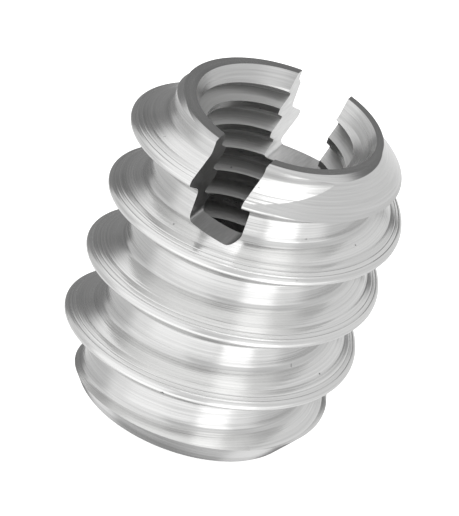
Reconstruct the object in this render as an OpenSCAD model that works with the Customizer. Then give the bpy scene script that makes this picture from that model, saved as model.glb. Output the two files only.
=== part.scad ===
// Threaded insert: a slotted, self-tapping bush turned from one bar.
// The axis is Z, the flat end stands on Z = 0 and the driver slot opens upwards.

/* [Body] */
// Length from the flat end to the slotted end
body_length = 15.35; // [13:0.05:20]
// Diameter of the core between the turns of the outside thread
core_d = 10.0; // [9.7:0.1:10.8]

/* [Outside thread] */
// Diameter over the crests
crest_d = 13.15; // [12:0.05:15]
// Rise of one turn
outer_pitch = 3.37; // [2.8:0.01:4]
// Radius of the rounded crest, as seen in a section through the axis
crest_round = 0.24; // [0.1:0.01:0.4]
// Slope of the long flank that faces the slotted end
long_flank_angle = 28; // [20:1:36]
// Slope of the short flank that faces the flat end
short_flank_angle = 26; // [12:1:30]
// Turn of the crest about the axis, where it meets the plane of the slotted end
thread_turn = 76.6; // [0:0.1:359]

/* [Ends] */
// Outer diameter of the flat ring at the slotted end
rim_d = 9.24; // [8.8:0.02:9.5]
// Slope of the cone behind the ring, measured from the axis
rim_cone_angle = 48; // [35:1:60]
// Outer diameter of the flat end
tip_d = 9.9; // [9:0.1:10.4]
// Slope of the lead-in cone, measured from the axis
tip_cone_angle = 35; // [25:1:50]

/* [Threaded hole] */
// Diameter of the hole at the crests of its thread
hole_d = 6.7; // [6:0.05:7]
// Diameter of the plain mouth at the slotted end
mouth_d = 8.36; // [7.8:0.02:8.5]
// Depth of the plain mouth
mouth_depth = 0.72; // [0.4:0.01:1]
// Taper of the mouth's wall, measured from the axis
mouth_taper = 31; // [20:1:38]
// Slope of the shoulder below the mouth, measured from the axis
shoulder_angle = 60; // [45:1:70]
// Diameter of the countersink at the flat end
foot_sink_d = 8.2; // [7.4:0.1:8.6]
// Slope of that countersink, measured from the axis
foot_sink_angle = 45; // [30:1:60]

/* [Driver slot] */
// Width of the slot
slot_w = 2.55; // [1.6:0.05:2.8]
// Depth of the slot below the ring
slot_depth = 4.15; // [3:0.05:6]
// Radius of the corners at the slot's floor
slot_corner_r = 0.45; // [0.2:0.05:0.7]

/* [Hidden] */
// Steps around one turn of the thread's surface
turn_steps = 90;
// Steps along the rounded crest's arc
crest_steps = 4;
// Facets of the turned surfaces and of the slot's corners
turned_facets = 96;
corner_facets = 32;
// Length by which a cutter runs past the face that it opens
past = 0.5;

core_r = core_d / 2;
crest_r = crest_d / 2;

// The crest's arc touches both flanks. A flank that slopes by an angle runs from the core
// to the arc's centre line over this height
arc_centre_r = crest_r - crest_round;
function flank_h(slope) =
    (arc_centre_r + crest_round * sin(slope) - core_r) * tan(slope) + crest_round * cos(slope);
crest_drop = flank_h(long_flank_angle);
short_flank_h = flank_h(short_flank_angle);
// Angle that the crest's arc turns through, from flank to flank
crest_turn = 180 - long_flank_angle - short_flank_angle;

// One turn's section from the top of the long flank downwards, as radius and drop
thread_section = [
    [core_r, 0],
    for (i = [0 : crest_steps])
        let (turn = long_flank_angle - 90 + i * crest_turn / crest_steps)
        [arc_centre_r + crest_round * cos(turn), crest_drop + crest_round * sin(turn)],
    [core_r, crest_drop + short_flank_h]
];
section_count = len(thread_section);

// Whole turns of the bar up to the one whose crest meets the rim's plane. The first of
// them ends below the flat end, and one more is wound above the rim: the end cuts take
// both away
turns_to_rim = floor((body_length + crest_drop) / outer_pitch) + 2;
turns_in_all = turns_to_rim + 1;
last_step = turns_in_all * turn_steps;
bar_start_z = body_length + crest_drop - turns_to_rim * outer_pitch;

// Place of one point of the section, after a number of steps up the helix
function thread_point(step, corner) =
    let (
        angle = step * 360 / turn_steps,
        r = thread_section[corner][0],
        drop = thread_section[corner][1]
    )
    [r * cos(angle), r * sin(angle), step * outer_pitch / turn_steps - drop];

// Number of a point in the list: the first turn has only its top corner,
// and a section's last corner is the top corner one turn lower
function point_number(step, corner) =
    corner == section_count ? point_number(step - turn_steps, 0)
    : step < turn_steps ? step
    : turn_steps + (step - turn_steps) * section_count + corner;

// A solid bar with the thread wound on it, closed at both ends by fans
module threaded_bar() {
    points = [
        for (i = [0 : turn_steps - 1]) thread_point(i, 0),
        for (i = [turn_steps : last_step], c = [0 : section_count - 1]) thread_point(i, c),
        [0, 0, outer_pitch / 2],
        [0, 0, (turns_in_all - 0.5) * outer_pitch]
    ];
    foot_centre = len(points) - 2;
    head_centre = len(points) - 1;
    foot_loop = [
        for (i = [0 : turn_steps]) point_number(i, 0),
        for (c = [1 : section_count - 1]) point_number(turn_steps, c)
    ];
    head_loop = [
        for (i = [last_step - turn_steps : last_step]) point_number(i, 0),
        for (c = [1 : section_count - 1]) point_number(last_step, c)
    ];
    corners = len(foot_loop);
    sides = [
        for (i = [turn_steps : last_step - 1], c = [0 : section_count - 1])
            let (
                here = point_number(i, c),
                along = point_number(i + 1, c),
                along_below = point_number(i + 1, c + 1),
                below = point_number(i, c + 1)
            )
            each [[here, along, along_below], [here, along_below, below]]
    ];
    foot_fan = [
        for (k = [0 : corners - 1])
            [foot_centre, foot_loop[k], foot_loop[(k + 1) % corners]]
    ];
    head_fan = [
        for (k = [0 : corners - 1])
            [head_centre, head_loop[(k + 1) % corners], head_loop[k]]
    ];
    rotate([0, 0, thread_turn])
        translate([0, 0, bar_start_z])
            polyhedron(points, concat(sides, foot_fan, head_fan));
}

// The turned outline that cuts both ends flat and gives them their cones
module end_envelope() {
    wide_r = crest_r + past;
    rim_r = rim_d / 2;
    tip_r = tip_d / 2;
    rim_cone_h = (wide_r - rim_r) / tan(rim_cone_angle);
    tip_cone_h = (wide_r - tip_r) / tan(tip_cone_angle);
    rotate_extrude($fn = turned_facets)
        polygon([
            [0, 0],
            [tip_r, 0],
            [wide_r, tip_cone_h],
            [wide_r, body_length - rim_cone_h],
            [rim_r, body_length],
            [0, body_length]
        ]);
}

// The hole right through: a plain mouth and a shoulder above, a countersink below
module threaded_hole() {
    hole_r = hole_d / 2;
    mouth_r = mouth_d / 2;
    mouth_floor_r = mouth_r - mouth_depth * tan(mouth_taper);
    shoulder_h = (mouth_floor_r - hole_r) / tan(shoulder_angle);
    mouth_floor_z = body_length - mouth_depth;
    foot_sink_r = foot_sink_d / 2;
    foot_sink_h = (foot_sink_r - hole_r) / tan(foot_sink_angle);
    rotate_extrude($fn = turned_facets)
        polygon([
            [0, -past],
            [foot_sink_r + past * tan(foot_sink_angle), -past],
            [hole_r, foot_sink_h],
            [hole_r, mouth_floor_z - shoulder_h],
            [mouth_floor_r, mouth_floor_z],
            [mouth_r + past * tan(mouth_taper), body_length + past],
            [0, body_length + past]
        ]);
}

// The driver slot across the whole rim, with rounded corners at its floor
module driver_slot() {
    floor_z = body_length - slot_depth;
    corner_x = slot_w / 2 - slot_corner_r;
    rotate([90, 0, 0])
        linear_extrude(height = crest_d + 2 * past, center = true)
            union() {
                translate([-slot_w / 2, floor_z + slot_corner_r])
                    square([slot_w, slot_depth - slot_corner_r + past]);
                translate([-corner_x, floor_z])
                    square([2 * corner_x, slot_depth]);
                for (side = [-1, 1])
                    translate([side * corner_x, floor_z + slot_corner_r])
                        circle(r = slot_corner_r, $fn = corner_facets);
            }
}

module insert_body() {
    color("silver")
        difference() {
            intersection() {
                threaded_bar();
                end_envelope();
            }
            threaded_hole();
            driver_slot();
        }
}

insert_body();
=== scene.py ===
from math import cos, pi, radians, sin, tan

import bpy
from mathutils import Matrix, Vector


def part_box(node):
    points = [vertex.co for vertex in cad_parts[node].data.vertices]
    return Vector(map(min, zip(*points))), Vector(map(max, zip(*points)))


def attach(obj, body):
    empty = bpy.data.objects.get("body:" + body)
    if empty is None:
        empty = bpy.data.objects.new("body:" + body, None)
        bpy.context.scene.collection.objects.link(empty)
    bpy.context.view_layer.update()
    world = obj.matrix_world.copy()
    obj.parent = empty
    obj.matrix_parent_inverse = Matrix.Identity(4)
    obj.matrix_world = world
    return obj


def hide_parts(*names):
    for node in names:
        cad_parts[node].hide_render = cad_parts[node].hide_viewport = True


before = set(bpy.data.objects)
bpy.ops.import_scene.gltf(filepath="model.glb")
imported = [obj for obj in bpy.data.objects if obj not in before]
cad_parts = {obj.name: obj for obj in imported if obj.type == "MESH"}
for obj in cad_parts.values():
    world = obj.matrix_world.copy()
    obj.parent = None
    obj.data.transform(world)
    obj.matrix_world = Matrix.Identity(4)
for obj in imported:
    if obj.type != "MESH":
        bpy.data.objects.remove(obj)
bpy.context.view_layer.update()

scene = bpy.context.scene
mm = 0.001
seamGap = 0.0005    # points nearer than this many millimetres are merged


def deselectAll():
    if bpy.context.mode != "OBJECT":
        bpy.ops.object.mode_set(mode="OBJECT")
    bpy.ops.object.select_all(action="DESELECT")


def activate(piece):
    deselectAll()
    piece.select_set(True)
    bpy.context.view_layer.objects.active = piece


def editAll(piece):
    activate(piece)
    bpy.ops.object.mode_set(mode="EDIT")
    bpy.ops.mesh.select_all(action="SELECT")


def closeSeams(piece):
    editAll(piece)
    bpy.ops.mesh.remove_doubles(threshold=seamGap)
    bpy.ops.mesh.normals_make_consistent(inside=False)
    bpy.ops.object.mode_set(mode="OBJECT")


def drawProfile(name, corners):
    # one vertex drawn out from corner to corner, each given as radius and height. A corner
    # with a rounding and a number of steps gets an arc that touches both of its edges
    places = [Vector((corner[0], 0, corner[1])) for corner in corners]
    deselectAll()
    bpy.ops.mesh.primitive_plane_add(size=1, location=places[0])
    profile = bpy.context.object
    profile.name = name
    bpy.ops.object.transform_apply(location=True, rotation=False, scale=False)
    bpy.ops.object.mode_set(mode="EDIT")
    bpy.ops.mesh.select_mode(type="VERT")
    bpy.ops.mesh.select_all(action="SELECT")
    bpy.ops.mesh.merge(type="CENTER")
    here = places[0]
    for number in range(1, len(corners)):
        place = places[number]
        if len(corners[number]) == 2:
            bpy.ops.mesh.extrude_region_move(TRANSFORM_OT_translate={"value": place - here})
            here = place
            continue
        rounding, steps = corners[number][2:]
        back = (places[number - 1] - place).normalized()
        on = (places[number + 1] - place).normalized()
        between = back.angle(on)
        reach = rounding / tan(between / 2)
        middle = place + (back + on).normalized() * rounding / sin(between / 2)
        # a narrow strip on each side keeps the wide faces beside the arc evenly shaded
        strip = rounding / 8
        for stop in (reach + strip, reach):
            following = place + back * stop
            bpy.ops.mesh.extrude_region_move(TRANSFORM_OT_translate={"value": following - here})
            here = following
        bpy.ops.mesh.spin(steps=steps, angle=pi - between, center=middle,
                          axis=back.cross(on).normalized())
        bpy.ops.mesh.extrude_region_move(TRANSFORM_OT_translate={"value": on * strip})
        here = place + on * (reach + strip)
    bpy.ops.object.mode_set(mode="OBJECT")
    return profile


def makeTurned(name, corners, steps, shift=(0, 0)):
    # a profile turned round the axis, then moved off centre
    piece = drawProfile(name, corners)
    editAll(piece)
    bpy.ops.mesh.spin(steps=steps, angle=2 * pi, center=(0, 0, 0), axis=(0, 0, 1))
    bpy.ops.object.mode_set(mode="OBJECT")
    closeSeams(piece)
    activate(piece)
    piece.location = (*shift, 0)
    bpy.ops.object.transform_apply(location=True, rotation=False, scale=False)
    return piece


def windProfile(profile, pitch, turns, steps):
    # the section wound up a right-hand helix, and both ends drawn in to the axis
    activate(profile)
    winding = profile.modifiers.new("winding", "SCREW")
    winding.axis = "Z"
    winding.angle = 2 * pi
    winding.screw_offset = pitch
    winding.iterations = turns
    winding.steps = winding.render_steps = steps
    bpy.ops.object.modifier_apply(modifier="winding")
    closeSeams(profile)
    heights = [v.co.z for v in profile.data.vertices]
    closeEnd(profile, min(heights) + pitch / 2, False)
    closeEnd(profile, max(heights) - pitch / 2, True)
    closeSeams(profile)


def closeEnd(piece, height, above):
    editAll(piece)
    bpy.ops.mesh.select_mode(type="EDGE")
    bpy.ops.mesh.select_all(action="DESELECT")
    bpy.ops.mesh.select_non_manifold(use_wire=False, use_multi_face=False,
                                     use_non_contiguous=False, use_verts=False)
    bpy.ops.object.mode_set(mode="OBJECT")
    mesh = piece.data
    middle = sum(v.co.z for v in mesh.vertices) / len(mesh.vertices)
    for edge in mesh.edges:
        if edge.select:
            edge.select = (mesh.vertices[edge.vertices[0]].co.z > middle) == above
    for vertex in mesh.vertices:
        vertex.select = False
    bpy.ops.object.mode_set(mode="EDIT")
    bpy.ops.mesh.extrude_edges_move()
    bpy.ops.transform.resize(value=(0, 0, 0), center_override=(0, 0, height))
    bpy.ops.object.mode_set(mode="OBJECT")


def combine(piece, tool, operation):
    activate(piece)
    cut = piece.modifiers.new("cut", "BOOLEAN")
    cut.object = tool
    cut.operation = operation
    cut.solver = "MANIFOLD"
    cut.material_mode = "TRANSFER"
    bpy.ops.object.modifier_apply(modifier="cut")
    bpy.data.objects.remove(tool)


def liftAndTurn(piece, height, angle):
    activate(piece)
    piece.location.z = height
    piece.rotation_euler.z = radians(angle)
    bpy.ops.object.transform_apply(location=True, rotation=True, scale=False)


# Sizes of the turned body in millimetres and degrees. Slopes of the thread's flanks are
# measured from the radius, slopes of the end cones from the axis
bodySizes = {
    "length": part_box("insert_body")[1].z / mm,
    "coreRadius": 5.0,
    "crestRadius": 6.575,
    "pitch": 3.37,
    "longFlank": 28,
    "shortFlank": 26,
    "crestRounding": 0.24,
    "crestSegments": 12,
    "rootRounding": 0.35,
    "underRounding": 0.6,    # where the short flank meets the core
    "rootSegments": 8,
    "toolRings": (           # fine grooves in the long flank: radius, width and depth
        (5.9, 0.05, 0.006),
        (6.18, 0.06, 0.014),
        (6.36, 0.08, 0.022),
    ),
    "threadTurn": 76.6,      # where the crest meets the plane of the slotted end
    "stepsPerTurn": 200,
    "spareTurns": 2,         # wound below the flat end and above the slotted one
    "ringRadius": 4.65,
    "ringShift": (-0.11, -0.09),
    "ringEdge": 75,
    "ringBreak": 0.07,
    "coneRadius": 4.575,     # in the plane of the slotted end
    "coneSlope": 48.5,
    "coneShift": (0.1, -0.5),
    "tipRadius": 4.95,
    "tipCone": 35,
    "tipBreak": 0.3,
    "breakSegments": 6,
    "turnedSteps": 192,
    "tipReach": 0.5,         # how far each end shape runs past the crests
    "ringReach": 1.0,
    "coneReach": 1.5,
    "past": 1.0,             # how far they run past the ends
}


def flankHeight(sizes, slope):
    # height from the crest's middle line to the root of one flank
    bend = radians(slope)
    rounding = sizes["crestRounding"]
    arcCentre = sizes["crestRadius"] - rounding - sizes["coreRadius"]
    return (arcCentre + rounding * sin(bend)) * tan(bend) + rounding * cos(bend)


def makeThreadedBar(sizes):
    core = sizes["coreRadius"]
    pitch = sizes["pitch"]
    crestDrop = flankHeight(sizes, sizes["longFlank"])
    threadHeight = crestDrop + flankHeight(sizes, sizes["shortFlank"])
    slopes = tan(radians(sizes["longFlank"])), tan(radians(sizes["shortFlank"]))
    reach = threadHeight / sum(slopes)
    rootHalf = (pitch - threadHeight) / 2
    rootArc = (sizes["rootRounding"], sizes["rootSegments"])
    underArc = (sizes["underRounding"], sizes["rootSegments"])
    toolRings = []
    for radius, width, depth in sizes["toolRings"]:
        for place, sink in ((radius - width / 2, 0), (radius, depth), (radius + width / 2, 0)):
            toolRings.append((place, (core - place) * slopes[0] - sink))
    crestArc = (sizes["crestRounding"], sizes["crestSegments"])
    bar = drawProfile("turnedBody", [
        (core, rootHalf),
        (core, 0, *rootArc),
        *toolRings,
        (core + reach, -reach * slopes[0], *crestArc),
        (core, -threadHeight, *underArc),
        (core, -threadHeight - rootHalf),
    ])
    turnsBelow = int(sizes["length"] / pitch) + sizes["spareTurns"]
    windProfile(bar, pitch, turnsBelow + sizes["spareTurns"], sizes["stepsPerTurn"])
    liftAndTurn(bar, sizes["length"] + crestDrop - turnsBelow * pitch, sizes["threadTurn"])
    return bar


def makeTipShape(sizes):
    # the flat end with its lead-in cone, open past the slotted end
    wide = sizes["crestRadius"] + sizes["tipReach"]
    top = sizes["length"] + sizes["past"]
    return makeTurned("tipShape", [
        (0, 0),
        (sizes["tipRadius"], 0, sizes["tipBreak"], sizes["breakSegments"]),
        (wide, (wide - sizes["tipRadius"]) / tan(radians(sizes["tipCone"]))),
        (wide, top),
        (0, top),
    ], sizes["turnedSteps"])


def makeRingShape(sizes):
    # the plane of the slotted end, with the shallow chamfer round its ring
    wide = sizes["crestRadius"] + sizes["ringReach"]
    length = sizes["length"]
    return makeTurned("ringShape", [
        (0, -sizes["past"]),
        (wide, -sizes["past"]),
        (wide, length - (wide - sizes["ringRadius"]) / tan(radians(sizes["ringEdge"]))),
        (sizes["ringRadius"], length, sizes["ringBreak"], sizes["breakSegments"]),
        (0, length),
    ], sizes["turnedSteps"], sizes["ringShift"])


def makeRimCone(sizes):
    # the cone behind the ring was turned a little off centre
    past = sizes["past"]
    length = sizes["length"]
    slope = tan(radians(sizes["coneSlope"]))
    wide = sizes["crestRadius"] + sizes["coneReach"]
    return makeTurned("rimCone", [
        (0, -past),
        (wide, -past),
        (wide, length - (wide - sizes["coneRadius"]) / slope),
        (sizes["coneRadius"] - past * slope, length + past),
        (0, length + past),
    ], sizes["turnedSteps"], sizes["coneShift"])


def makeCollar(sizes):
    # the ring keeps its own wall where the cone is cut deeper
    low, high = (sizes["length"] + side * sizes["past"] for side in (-1, 1))
    return makeTurned("collar", [
        (0, low),
        (sizes["ringRadius"], low),
        (sizes["ringRadius"], high),
        (0, high),
    ], sizes["turnedSteps"], sizes["ringShift"])


# Sizes of the tapped hole in millimetres and degrees
holeSizes = {
    "radius": 3.35,
    "grooveRadius": 4.03,
    "grooveFlat": 0.16,
    "grooveSlope": 30,
    "toothStart": 0.15,      # how far inside the bore's wall the tap's teeth start
    "pitch": 1.25,
    "threadTurn": 243,       # where its crest meets the plane of the slotted end
    "stepsPerTurn": 120,
    "spareTurns": 3,
    "mouthRadius": 4.18,
    "mouthDepth": 0.72,
    "mouthTaper": 31,
    "shoulder": 60,
    "sinkRadius": 4.1,
    "sinkSlope": 45,
    "past": 0.5,
    "turnedSteps": 144,
}


def makeBore(sizes, length):
    past = sizes["past"]
    slopes = ("mouthTaper", "shoulder", "sinkSlope")
    taper, shoulder, sink = (tan(radians(sizes[key])) for key in slopes)
    floorRadius = sizes["mouthRadius"] - sizes["mouthDepth"] * taper
    floorHeight = length - sizes["mouthDepth"]
    return makeTurned("bore", [
        (0, -past),
        (sizes["sinkRadius"] + past * sink, -past),
        (sizes["radius"], (sizes["sinkRadius"] - sizes["radius"]) / sink),
        (sizes["radius"], floorHeight - (floorRadius - sizes["radius"]) / shoulder),
        (floorRadius, floorHeight),
        (sizes["mouthRadius"] + past * taper, length + past),
        (0, length + past),
    ], sizes["turnedSteps"])


def makeTap(sizes, length):
    # the tap's teeth start inside the bore's wall, so that the crests keep the bore's radius
    pitch = sizes["pitch"]
    inner = sizes["radius"] - sizes["toothStart"]
    rise = (sizes["grooveRadius"] - inner) * tan(radians(sizes["grooveSlope"]))
    half = sizes["grooveFlat"] / 2
    tap = drawProfile("tap", [
        (inner, pitch / 2),
        (inner, half + rise),
        (sizes["grooveRadius"], half),
        (sizes["grooveRadius"], -half),
        (inner, -half - rise),
        (inner, -pitch / 2),
    ])
    turnsBelow = int(length / pitch) + sizes["spareTurns"]
    windProfile(tap, pitch, turnsBelow + sizes["spareTurns"], sizes["stepsPerTurn"])
    liftAndTurn(tap, length - pitch / 2 - turnsBelow * pitch, sizes["threadTurn"])
    return tap


# Sizes of the driver slot in millimetres
slotSizes = {
    "width": 2.55,
    "depth": 4.15,
    "leftCorner": 0.25,
    "rightCorner": 0.45,
    "cornerSegments": 8,
    "past": 1,               # how far the cutter runs past the ring and the crests
}


def selectLowEdge(cutter, side):
    # the long edge at the bottom, on one side
    near = 0.01
    activate(cutter)
    mesh = cutter.data
    bottom = min(v.co.z for v in mesh.vertices) + near
    low = {v.index for v in mesh.vertices if v.co.z < bottom and v.co.x * side > 0}
    farthest = max(mesh.vertices[index].co.x * side for index in low)
    low = {index for index in low if mesh.vertices[index].co.x * side > farthest - near}
    for item in list(mesh.polygons) + list(mesh.vertices):
        item.select = False
    for edge in mesh.edges:
        edge.select = set(edge.vertices) <= low
    bpy.ops.object.mode_set(mode="EDIT")
    bpy.ops.mesh.select_mode(type="EDGE")


def makeSlotCutter(sizes, length, reach):
    deselectAll()
    height = sizes["depth"] + sizes["past"]
    bpy.ops.mesh.primitive_cube_add(size=1, location=(0, 0, length - sizes["depth"] + height / 2),
                                    scale=(sizes["width"], 2 * (reach + sizes["past"]), height))
    cutter = bpy.context.object
    cutter.name = "slotCutter"
    bpy.ops.object.transform_apply(location=True, rotation=False, scale=True)
    for side, key in ((-1, "leftCorner"), (1, "rightCorner")):
        selectLowEdge(cutter, side)
        bpy.ops.mesh.bevel(offset=sizes[key], segments=sizes["cornerSegments"], affect="EDGES")
        bpy.ops.object.mode_set(mode="OBJECT")
    return cutter


def addNode(tree, kind, x, y, **sockets):
    made = tree.nodes.new("ShaderNode" + kind)
    made.location = (x, y)
    for name, value in sockets.items():
        made.inputs[name].default_value = value
    return made


def mathNode(tree, operation, x, y, *values):
    made = addNode(tree, "Math", x, y)
    made.operation = operation
    for number, value in enumerate(values):
        if isinstance(value, (int, float)):
            made.inputs[number].default_value = value
        else:
            tree.links.new(value, made.inputs[number])
    return made.outputs[0]


def newGroup(name, inputs, outputs):
    group = bpy.data.node_groups.new(name, "ShaderNodeTree")
    for direction, sockets in (("INPUT", inputs), ("OUTPUT", outputs)):
        for socket, kind in sockets:
            group.interface.new_socket(socket, in_out=direction, socket_type="NodeSocket" + kind)
    given = group.nodes.new("NodeGroupInput")
    given.location = (-1200, 0)
    result = group.nodes.new("NodeGroupOutput")
    result.location = (1000, 0)
    return group, given.outputs, result.inputs


def placeGroup(tree, group, x, y, **sockets):
    made = addNode(tree, "Group", x, y)
    made.node_tree = group
    for name, value in sockets.items():
        if isinstance(value, (int, float)):
            made.inputs[name].default_value = value
        else:
            tree.links.new(value, made.inputs[name])
    return made


def mapNode(tree, value, x, y, source=(0, 1), target=(0, 1), smooth=False):
    # a value that runs over the target as the given one runs over the source
    made = addNode(tree, "MapRange", x, y)
    if smooth:
        made.interpolation_type = "SMOOTHSTEP"
    names = ("From Min", "From Max", "To Min", "To Max")
    for name, number in zip(names, (*source, *target)):
        made.inputs[name].default_value = number
    tree.links.new(value, made.inputs["Value"])
    return made.outputs["Result"]


def inMillimetres(tree, place, x, y):
    scaled = addNode(tree, "VectorMath", x, y)
    scaled.operation = "SCALE"
    scaled.inputs["Scale"].default_value = 1 / mm
    tree.links.new(place, scaled.inputs[0])
    return scaled.outputs[0]


def makeWoundPlace():
    # radius and height in millimetres on one thread section, and the turns along the thread.
    # Start is the rise of the crest, so the height starts anew at the crest
    group, given, result = newGroup("woundPlace",
                                    [("place", "Vector"), ("pitch", "Float"), ("start", "Float")],
                                    [("place", "Vector")])
    parts = addNode(group, "SeparateXYZ", -820, 0)
    group.links.new(inMillimetres(group, given["place"], -1000, 0), parts.inputs[0])
    x, y, z = parts.outputs
    square = mathNode(group, "MULTIPLY", -640, 200, x, x)
    squares = mathNode(group, "MULTIPLY_ADD", -460, 200, y, y, square)
    radius = mathNode(group, "SQRT", -280, 200, squares)
    angle = mathNode(group, "ARCTAN2", -640, -100, y, x)
    wound = mathNode(group, "DIVIDE", -460, -100, angle, 2 * pi)
    turned = mathNode(group, "ADD", -280, -100, wound, given["start"])
    rise = mathNode(group, "DIVIDE", -460, -300, z, given["pitch"])
    share = mathNode(group, "FRACT", 80, -100, mathNode(group, "SUBTRACT", -100, -100, rise, turned))
    height = mathNode(group, "MULTIPLY", 260, 0, share, given["pitch"])
    turns = mathNode(group, "SUBTRACT", 260, -200, rise, share)
    joined = addNode(group, "CombineXYZ", 460, 0)
    for socket, value in zip(joined.inputs, (radius, height, turns)):
        group.links.new(value, socket)
    group.links.new(joined.outputs[0], result["place"])
    return group


def makeTurnedPlace():
    # radius and height in millimetres, and a value that runs 0 to 1 and back round the axis
    group, given, result = newGroup("turnedPlace",
                                    [("place", "Vector"), ("shiftX", "Float"), ("shiftY", "Float")],
                                    [("place", "Vector")])
    parts = addNode(group, "SeparateXYZ", -820, 0)
    group.links.new(inMillimetres(group, given["place"], -1000, 0), parts.inputs[0])
    x = mathNode(group, "SUBTRACT", -640, 200, parts.outputs["X"], given["shiftX"])
    y = mathNode(group, "SUBTRACT", -640, 0, parts.outputs["Y"], given["shiftY"])
    square = mathNode(group, "MULTIPLY", -460, 200, x, x)
    squares = mathNode(group, "MULTIPLY_ADD", -280, 200, y, y, square)
    turned = mathNode(group, "ABSOLUTE", -280, -100, mathNode(group, "ARCTAN2", -460, -100, y, x))
    joined = addNode(group, "CombineXYZ", 100, 0)
    group.links.new(mathNode(group, "SQRT", -100, 200, squares), joined.inputs["X"])
    group.links.new(parts.outputs["Z"], joined.inputs["Y"])
    group.links.new(mathNode(group, "DIVIDE", -100, -100, turned, pi), joined.inputs["Z"])
    group.links.new(joined.outputs[0], result["place"])
    return group


# Noises of the tool marks: their strength in the relief and in the shade of the metal
markSizes = {
    "detail": 2,
    "noiseRoughness": 0.6,
    "patchScale": 1.3,        # patches per millimetre, across the marks
    "fineAlong": 3,           # how much faster fine marks and patches change along them
    "patchAlong": 1.5,
    "relief": (0.65, 0.35),   # wide and fine marks
    "shade": (0.4, 0.6),
    "shadeSpread": (0.32, 0.68),
    "patchSpread": (0.35, 0.65),
}


def makeToolMarks(sizes):
    # long scratches along the third axis of the place, wide ones and fine ones
    group, given, result = newGroup("toolMarks",
                                    [("place", "Vector"), ("wide", "Float"),
                                     ("fine", "Float"), ("along", "Float")],
                                    [("height", "Float"), ("shade", "Float"), ("patch", "Float")])
    rows = (("wide", 1), ("fine", sizes["fineAlong"]), (None, sizes["patchAlong"]))
    noises = []
    for row, (across, share) in enumerate(rows):
        y = -220 * row
        stretch = addNode(group, "CombineXYZ", -900, y)
        for socket in (0, 1):
            if across:
                group.links.new(given[across], stretch.inputs[socket])
            else:
                stretch.inputs[socket].default_value = sizes["patchScale"]
        group.links.new(mathNode(group, "MULTIPLY", -1050, y, given["along"], share), stretch.inputs[2])
        spread = addNode(group, "VectorMath", -700, y)
        spread.operation = "MULTIPLY"
        group.links.new(given["place"], spread.inputs[0])
        group.links.new(stretch.outputs[0], spread.inputs[1])
        noise = addNode(group, "TexNoise", -500, y,
                        Scale=1, Detail=sizes["detail"], Roughness=sizes["noiseRoughness"])
        group.links.new(spread.outputs[0], noise.inputs["Vector"])
        noises.append(noise.outputs["Fac"])
    wideMarks, fineMarks, patches = noises
    wideRelief, fineRelief = sizes["relief"]
    wideShade, fineShade = sizes["shade"]
    fineShare = mathNode(group, "MULTIPLY", -200, -220, fineMarks, fineRelief)
    height = mathNode(group, "MULTIPLY_ADD", 0, 0, wideMarks, wideRelief, fineShare)
    wideShare = mathNode(group, "MULTIPLY", -200, -400, wideMarks, wideShade)
    streak = mathNode(group, "MULTIPLY_ADD", 0, -250, fineMarks, fineShade, wideShare)
    group.links.new(height, result["height"])
    group.links.new(mapNode(group, streak, 200, -250, sizes["shadeSpread"]), result["shade"])
    group.links.new(mapNode(group, patches, 200, -500, sizes["patchSpread"]), result["patch"])
    return group


handlingSizes = {
    "detail": 1.5,
    "noiseRoughness": 0.55,
    "highest": 0.86,    # level of the noise at which no speck is left
    "edge": 0.05,       # how softly a speck begins
}


def makeHandling(sizes):
    # small dents and dark specks, as from a bag of loose inserts
    group, given, result = newGroup("handling",
                                    [("place", "Vector"), ("size", "Float"), ("amount", "Float")],
                                    [("speck", "Float")])
    spread = addNode(group, "VectorMath", -900, 0)
    spread.operation = "SCALE"
    group.links.new(given["place"], spread.inputs[0])
    perMetre = mathNode(group, "DIVIDE", -1050, -100, 1 / mm, given["size"])
    group.links.new(perMetre, spread.inputs["Scale"])
    noise = addNode(group, "TexNoise", -700, 0,
                    Scale=1, Detail=sizes["detail"], Roughness=sizes["noiseRoughness"])
    group.links.new(spread.outputs[0], noise.inputs["Vector"])
    level = mathNode(group, "SUBTRACT", -500, -200, sizes["highest"], given["amount"])
    over = mathNode(group, "SUBTRACT", -300, 0, noise.outputs["Fac"], level)
    group.links.new(mapNode(group, over, -100, 0, (0, sizes["edge"])), result["speck"])
    return group


woundPlace = makeWoundPlace()
turnedPlace = makeTurnedPlace()
toolMarks = makeToolMarks(markSizes)
handling = makeHandling(handlingSizes)
print("effects built: woundPlace, turnedPlace, toolMarks, handling")


def paintedShadingAcross(tree, marked, sizes):
    # painted shade and light: the metal's colour scaled along one axis of the marks' place
    parts = addNode(tree, "SeparateXYZ", -900, 500)
    tree.links.new(marked, parts.inputs[0])
    return mapNode(tree, parts.outputs[sizes["paintedShadingAxis"]], -700, 500, sizes["paintedShadingAt"], sizes["paintedShading"], True)


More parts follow.
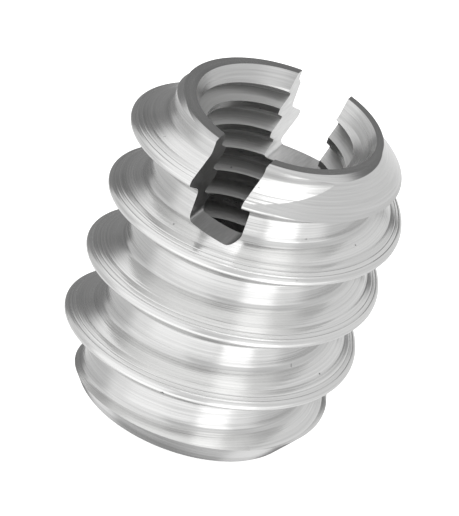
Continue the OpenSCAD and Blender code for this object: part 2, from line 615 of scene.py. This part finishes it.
def makeFinish(name, sizes, place):
    # bright metal with tool marks. Place makes the vector that the marks follow
    material = bpy.data.materials.new(name)
    material.use_nodes = True
    tree = material.node_tree
    shader = tree.nodes["Principled BSDF"]
    shader.inputs["Metallic"].default_value = 1
    coordinates = addNode(tree, "TexCoord", -1400, 0).outputs["Object"]
    marked = place(tree, coordinates)
    marks = placeGroup(tree, toolMarks, -900, 0, place=marked,
                       wide=sizes["wideMarks"], fine=sizes["fineMarks"], along=sizes["along"])
    specks = placeGroup(tree, handling, -900, -300, place=coordinates,
                        size=sizes["speckSize"], amount=sizes["speckAmount"])
    clean = addNode(tree, "Mix", -500, 200)
    clean.data_type = "RGBA"
    clean.inputs["A"].default_value = (*sizes["darkMetal"], 1)
    clean.inputs["B"].default_value = (*sizes["brightMetal"], 1)
    tree.links.new(marks.outputs["shade"], clean.inputs["Factor"])
    # painted shade and light: the metal's colour scaled by the finish's painted shading
    withPaintedShading = addNode(tree, "VectorMath", -400, 350)
    withPaintedShading.operation = "SCALE"
    tree.links.new(clean.outputs["Result"], withPaintedShading.inputs[0])
    tree.links.new(paintedShadingAcross(tree, marked, sizes), withPaintedShading.inputs["Scale"])
    specked = addNode(tree, "Mix", -300, 200)
    specked.data_type = "RGBA"
    specked.inputs["B"].default_value = (*sizes["speckColour"], 1)
    tree.links.new(specks.outputs["speck"], specked.inputs["Factor"])
    tree.links.new(withPaintedShading.outputs[0], specked.inputs["A"])
    tree.links.new(specked.outputs["Result"], shader.inputs["Base Color"])
    speck = specks.outputs["speck"]
    spread = mapNode(tree, marks.outputs["patch"], -500, -100, target=sizes["roughness"])
    roughness = mathNode(tree, "MULTIPLY_ADD", -300, -100, speck, sizes["speckRoughness"], spread)
    tree.links.new(roughness, shader.inputs["Roughness"])
    relief = mathNode(tree, "MULTIPLY_ADD", -500, -400, speck, sizes["speckHeight"], marks.outputs["height"])
    bump = addNode(tree, "Bump", -300, -400, Distance=sizes["markDepth"] * mm)
    tree.links.new(relief, bump.inputs["Height"])
    tree.links.new(bump.outputs["Normal"], shader.inputs["Normal"])
    return material


def alongThread(pitch, start):
    def place(tree, coordinates):
        made = placeGroup(tree, woundPlace, -1150, 0, place=coordinates, pitch=pitch, start=start)
        return made.outputs["place"]
    return place


def aroundAxis(shiftX, shiftY):
    def place(tree, coordinates):
        made = placeGroup(tree, turnedPlace, -1150, 0,
                          place=coordinates, shiftX=shiftX, shiftY=shiftY)
        return made.outputs["place"]
    return place


def alongSlot(tree, coordinates):
    # marks that run along Y
    parts = addNode(tree, "SeparateXYZ", -1250, 0)
    tree.links.new(coordinates, parts.inputs[0])
    swapped = addNode(tree, "CombineXYZ", -1100, 0)
    for source, target in (("X", "X"), ("Z", "Y"), ("Y", "Z")):
        tree.links.new(parts.outputs[source], swapped.inputs[target])
    return inMillimetres(tree, swapped.outputs[0], -1000, 0)


turnedFinish = {
    "wideMarks": 5.0,        # marks per millimetre, across them
    "fineMarks": 13.0,
    "along": 1.5,            # changes per turn, along them
    "markDepth": 0.012,      # millimetres
    "darkMetal": (0.6, 0.6, 0.597),
    "brightMetal": (0.78, 0.78, 0.775),
    # painted shade: the thread's colour darkens towards its roots, by radius
    "paintedShadingAxis": "X",
    "paintedShadingAt": (5.02, 5.3),   # millimetres from the axis
    "paintedShading": (0.81, 1.0),
    "roughness": (0.14, 0.26),
    "speckSize": 0.35,
    "speckAmount": 0.1,
    "speckColour": (0.2, 0.2, 0.2),
    "speckRoughness": 0.2,   # added in the specks
    "speckHeight": -0.3,     # times the marks' depth
}
coneFinish = {
    **turnedFinish,
    "wideMarks": 4.0,
    "fineMarks": 10.0,
    "markDepth": 0.004,
    "darkMetal": (0.57, 0.57, 0.568),
    "brightMetal": (0.68, 0.68, 0.677),
    "paintedShading": (1.0, 1.0),
    "roughness": (0.18, 0.26),
}
facedFinish = {
    **coneFinish,
    "markDepth": 0.003,
    "roughness": (0.12, 0.2),
}
leadInFinish = {
    **coneFinish,
    # painted shade: the lead-in darkens towards the flat end on the floor, with slight painted light above
    "paintedShadingAxis": "Y",
    "paintedShadingAt": (0.35, 0.6),   # millimetres above the flat end
    "paintedShading": (0.82, 1.08),
    "roughness": (0.16, 0.26),
}
slotFinish = {
    **turnedFinish,
    "wideMarks": 6.0,
    "fineMarks": 18.0,
    "along": 0.6,            # changes per millimetre here
    "markDepth": 0.006,
    "darkMetal": (0.56, 0.56, 0.558),
    "brightMetal": (0.7, 0.7, 0.697),
    # painted shade and light: the slot darkens towards -Y and is painted lighter than its metal towards +Y
    "paintedShadingAxis": "Z",
    "paintedShadingAt": (-3.5, 2.5),   # millimetres along the slot
    "paintedShading": (0.72, 1.25),
    "roughness": (0.3, 0.42),
}
tappedFinish = {
    **turnedFinish,
    "wideMarks": 7.0,
    "markDepth": 0.008,
    "darkMetal": (0.6, 0.6, 0.595),
    "brightMetal": (0.76, 0.76, 0.755),
    # painted shade: the tapped hole darkened throughout, and most at its top turns
    "paintedShadingAxis": "Z",
    "paintedShadingAt": (10.4, 11.2),  # turns along the thread
    "paintedShading": (0.84, 0.64),
    "roughness": (0.5, 0.64),
}
mouthFinish = {
    **coneFinish,
    # painted shade: the bored mouth's metal is made darker, for the shade inside the hole
    "darkMetal": (0.46, 0.46, 0.458),
    "brightMetal": (0.62, 0.62, 0.617),
    "roughness": (0.24, 0.34),
}

crestRise = bodySizes["length"] / bodySizes["pitch"] - bodySizes["threadTurn"] / 360
tapRise = bodySizes["length"] / holeSizes["pitch"] - holeSizes["threadTurn"] / 360
onThread = alongThread(bodySizes["pitch"], crestRise)
onTap = alongThread(holeSizes["pitch"], tapRise)
centred = aroundAxis(0, 0)
finishes = {
    "turnedThread": makeFinish("turnedThread", turnedFinish, onThread),
    "rimCone": makeFinish("rimCone", coneFinish, aroundAxis(*bodySizes["coneShift"])),
    "boredMouth": makeFinish("boredMouth", mouthFinish, centred),
    "facedEnds": makeFinish("facedEnds", facedFinish, centred),
    "leadIn": makeFinish("leadIn", leadInFinish, centred),
    "tappedHole": makeFinish("tappedHole", tappedFinish, onTap),
    "milledSlot": makeFinish("milledSlot", slotFinish, alongSlot),
}
print("finishes made:", len(finishes))


def give(piece, finish):
    piece.data.materials.clear()
    piece.data.materials.append(finishes[finish])
    return piece


length = bodySizes["length"]
sharpAngle = 12.5    # degrees, past which an edge stays sharp
turnedBody = give(makeThreadedBar(bodySizes), "turnedThread")
print("bar wound:", len(turnedBody.data.polygons), "faces")
combine(turnedBody, give(makeRimCone(bodySizes), "rimCone"), "INTERSECT")
combine(turnedBody, give(makeCollar(bodySizes), "facedEnds"), "UNION")
combine(turnedBody, give(makeRingShape(bodySizes), "facedEnds"), "INTERSECT")
combine(turnedBody, give(makeTipShape(bodySizes), "leadIn"), "INTERSECT")
print("ends turned:", len(turnedBody.data.polygons), "faces")
combine(turnedBody, give(makeBore(holeSizes, length), "boredMouth"), "DIFFERENCE")
combine(turnedBody, give(makeTap(holeSizes, length), "tappedHole"), "DIFFERENCE")
print("hole bored and tapped:", len(turnedBody.data.polygons), "faces")
slotCutter = give(makeSlotCutter(slotSizes, length, bodySizes["crestRadius"]), "milledSlot")
combine(turnedBody, slotCutter, "DIFFERENCE")
closeSeams(turnedBody)
print("slot cut:", len(turnedBody.data.polygons), "faces,", len(turnedBody.data.materials), "finishes")

activate(turnedBody)
turnedBody.scale = (mm, mm, mm)
bpy.ops.object.transform_apply(location=False, rotation=False, scale=True)
bpy.ops.object.shade_smooth_by_angle(angle=radians(sharpAngle))
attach(turnedBody, "root")
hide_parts("insert_body")

# The floor shows white to the camera and takes the insert's shadow. The metal sees the
# studio in its place
floorSizes = {
    "size": 0.6,    # metres
    "colour": (0.8, 0.8, 0.8),
    "glow": 0.75,
}


def makeFloor(sizes):
    deselectAll()
    bpy.ops.mesh.primitive_plane_add(size=sizes["size"], location=(0, 0, 0))
    floor = bpy.context.object
    floor.name = "floor"
    material = bpy.data.materials.new("paleFloor")
    material.use_nodes = True
    tree = material.node_tree
    tree.nodes.clear()
    output = addNode(tree, "OutputMaterial", 600, 0)
    diffuse = addNode(tree, "BsdfDiffuse", 0, 100, Color=(*sizes["colour"], 1))
    glow = addNode(tree, "Emission", 0, -100, Color=(1, 1, 1, 1), Strength=sizes["glow"])
    both = addNode(tree, "AddShader", 200, 0)
    pathInfo = addNode(tree, "LightPath", -200, 300)
    seen = mathNode(tree, "MAXIMUM", 0, 300,
                    pathInfo.outputs["Is Camera Ray"], pathInfo.outputs["Is Glossy Ray"])
    pick = addNode(tree, "MixShader", 400, 0)
    tree.links.new(diffuse.outputs[0], both.inputs[0])
    tree.links.new(glow.outputs[0], both.inputs[1])
    tree.links.new(seen, pick.inputs["Fac"])
    tree.links.new(diffuse.outputs[0], pick.inputs[1])
    tree.links.new(both.outputs[0], pick.inputs[2])
    tree.links.new(pick.outputs[0], output.inputs["Surface"])
    floor.data.materials.append(material)
    floor.visible_glossy = False
    floor.visible_shadow = False
    return floor


makeFloor(floorSizes)

# A grey patch just under the floor closes the hole where the metal looks through the floor
patchSizes = {
    "radius": bodySizes["tipRadius"],    # millimetres
    "thickness": 0.02,
    "middle": -0.012,
    "colour": (0.6, 0.6, 0.6),
}


def makeShadedPatch(sizes):
    deselectAll()
    bpy.ops.mesh.primitive_cylinder_add(radius=sizes["radius"] * mm, depth=sizes["thickness"] * mm,
                                        location=(0, 0, sizes["middle"] * mm))
    patch = bpy.context.object
    patch.name = "shadedPatch"
    material = bpy.data.materials.new("shadedFloor")
    material.use_nodes = True
    shader = material.node_tree.nodes["Principled BSDF"]
    shader.inputs["Base Color"].default_value = (*sizes["colour"], 1)
    shader.inputs["Roughness"].default_value = 1
    patch.data.materials.append(material)
    return patch


makeShadedPatch(patchSizes)
print("floor and patch staged")

# The studio as the metal sees it, in degrees. Azimuth 0 is in front of the insert, 90 on its
# right. Each card has a level of light, a centre, half its width and height, and how softly
# it fades out. A later card lies over an earlier one
studioWalls = 0.95
studioCards = {
    # level, azimuth, elevation, half width, half height, fade
    "rearLeft": (0.75, -95, -8, 28, 14, 20),
    "rightWall": (0.84, 118, 15, 40, 35, 24),
    "frontLeft": (1.25, -34, -10, 26, 45, 18),
    "upperLeft": (1.15, -75, 52, 42, 11, 12),
    "frontFloor": (1.55, -5, -48, 30, 14, 18),
    "column": (0.83, 19, 12, 12, 32, 8),
    "windowGlow": (1.16, 46, 15, 10, 30, 12),
    "windowSide": (1.25, 78, -30, 10, 14, 20),
    "window": (2.0, 52, -27, 14, 20, 4),
    "windowFoot": (2.0, 64, -52, 18, 10, 5),
    "darkCorner": (0.26, -138, 3, 17, 20, 12),
    "ringShade": (0.22, -163, 29, 28, 12, 6),
    "skylight": (2.1, 0, 90, 180, 9, 4),
    "skylightRight": (2.1, 98, 80, 22, 4, 6),
    "skylightLeft": (1.3, -106, 70, 14, 9, 8),
    "floorBehind": (0.15, -164, -47, 14, 14, 5),
    "underside": (0.42, -161, -76, 42, 12, 5),
}
cardPlace = ("atAzimuth", "atElevation", "halfWidth", "halfHeight", "fade")


def makeCardGroup():
    # a soft-edged rectangle in azimuth and elevation, as a mask
    values = ("azimuth", "elevation", *cardPlace)
    group, given, result = newGroup("studioCard",
                                    [(name, "Float") for name in values], [("mask", "Float")])
    sides = (("azimuth", "atAzimuth", "halfWidth"), ("elevation", "atElevation", "halfHeight"))
    masks = []
    for row, (value, centre, half) in enumerate(sides):
        y = -200 * row
        away = mathNode(group, "SUBTRACT", -500, y, given[value], given[centre])
        turned = mathNode(group, "WRAP", -350, y, away, 180, -180)
        distance = mathNode(group, "ABSOLUTE", -200, y, turned)
        outside = mathNode(group, "SUBTRACT", -50, y, distance, given[half])
        share = mathNode(group, "DIVIDE", 100, y, outside, given["fade"])
        masks.append(mapNode(group, share, 250, y, target=(1, 0), smooth=True))
    group.links.new(mathNode(group, "MULTIPLY", 450, -100, *masks), result["mask"])
    return group


def plainBackground(tree, x, y, strength):
    return addNode(tree, "Background", x, y, Color=(1, 1, 1, 1), Strength=strength)


world = bpy.data.worlds.new("studio")
scene.world = world
world.use_nodes = True
tree = world.node_tree
tree.nodes.clear()
facing = addNode(tree, "TexCoord", -1000, 0)
parts = addNode(tree, "SeparateXYZ", -820, 0)
tree.links.new(facing.outputs["Generated"], parts.inputs[0])
frontward = mathNode(tree, "MULTIPLY", -660, 100, parts.outputs["Y"], -1)
turned = mathNode(tree, "ARCTAN2", -500, 100, parts.outputs["X"], frontward)
raised = mathNode(tree, "ARCSINE", -500, -100, parts.outputs["Z"])
azimuth = mathNode(tree, "DEGREES", -340, 100, turned)
elevation = mathNode(tree, "DEGREES", -340, -100, raised)
cardGroup = makeCardGroup()
strength = None
for number, (name, (level, *place)) in enumerate(studioCards.items()):
    across = 180 * number
    mask = placeGroup(tree, cardGroup, across, 300, azimuth=azimuth, elevation=elevation,
                      **dict(zip(cardPlace, place)))
    mask.label = name
    blend = addNode(tree, "Mix", across, 0, A=studioWalls, B=level)
    tree.links.new(mask.outputs["mask"], blend.inputs["Factor"])
    if strength:
        tree.links.new(strength, blend.inputs["A"])
    strength = blend.outputs["Result"]

# Metal sees the studio, the camera sees plain white, and everything else is lit evenly
across = 100 + 180 * len(studioCards)
surroundings = plainBackground(tree, across, 100, 1)
tree.links.new(strength, surroundings.inputs["Strength"])
evenLight = plainBackground(tree, across, -50, 1)
backdrop = plainBackground(tree, across, -200, 1)
pathInfo = addNode(tree, "LightPath", across, 400)
mirrored = mathNode(tree, "MAXIMUM", across + 200, 400,
                    pathInfo.outputs["Is Glossy Ray"], pathInfo.outputs["Is Transmission Ray"])
inMetal = addNode(tree, "MixShader", across + 400, 100)
pick = addNode(tree, "MixShader", across + 600, 0)
output = addNode(tree, "OutputWorld", across + 800, 0)
tree.links.new(mirrored, inMetal.inputs["Fac"])
tree.links.new(evenLight.outputs[0], inMetal.inputs[1])
tree.links.new(surroundings.outputs[0], inMetal.inputs[2])
tree.links.new(pathInfo.outputs["Is Camera Ray"], pick.inputs["Fac"])
tree.links.new(inMetal.outputs[0], pick.inputs[1])
tree.links.new(backdrop.outputs[0], pick.inputs[2])
tree.links.new(pick.outputs[0], output.inputs["Surface"])

print("studio built:", len(studioCards), "cards")

# Camera: turned about the axis, looking down, with the insert's top leaning right. Angles
# are in degrees, and the distance and the aim in millimetres from the slotted end
cameraSizes = {
    "azimuth": 15.6,
    "elevation": 29.2,
    "roll": 20.0,
    "distance": 398.4,
    "aimRight": -0.242,
    "aimUp": -6.777,
    "lens": 627.9,
    "sensor": 36,
    "clip": (0.01, 10),    # metres
}


def makeCamera(sizes, length):
    azimuth, elevation, roll = (radians(sizes[key]) for key in ("azimuth", "elevation", "roll"))
    ahead = cos(elevation)
    forward = Vector((-sin(azimuth) * ahead, cos(azimuth) * ahead, -sin(elevation)))
    right = Vector((cos(azimuth), sin(azimuth), 0))
    up = right.cross(forward)
    aim = Vector((0, 0, length)) + sizes["aimRight"] * right + sizes["aimUp"] * up
    place = (aim - sizes["distance"] * forward) * mm
    imageRight = cos(roll) * right + sin(roll) * up
    imageUp = cos(roll) * up - sin(roll) * right
    deselectAll()
    bpy.ops.object.camera_add(location=place)
    camera = bpy.context.object
    camera.name = "camera"
    camera.rotation_mode = "QUATERNION"
    turn = Matrix((imageRight, imageUp, -forward)).transposed()
    camera.rotation_quaternion = turn.to_quaternion()
    camera.data.sensor_width = sizes["sensor"]
    camera.data.lens = sizes["lens"]
    camera.data.clip_start, camera.data.clip_end = sizes["clip"]
    return camera


scene.camera = makeCamera(cameraSizes, length)
scene.view_settings.view_transform = "Standard"
print("camera placed")
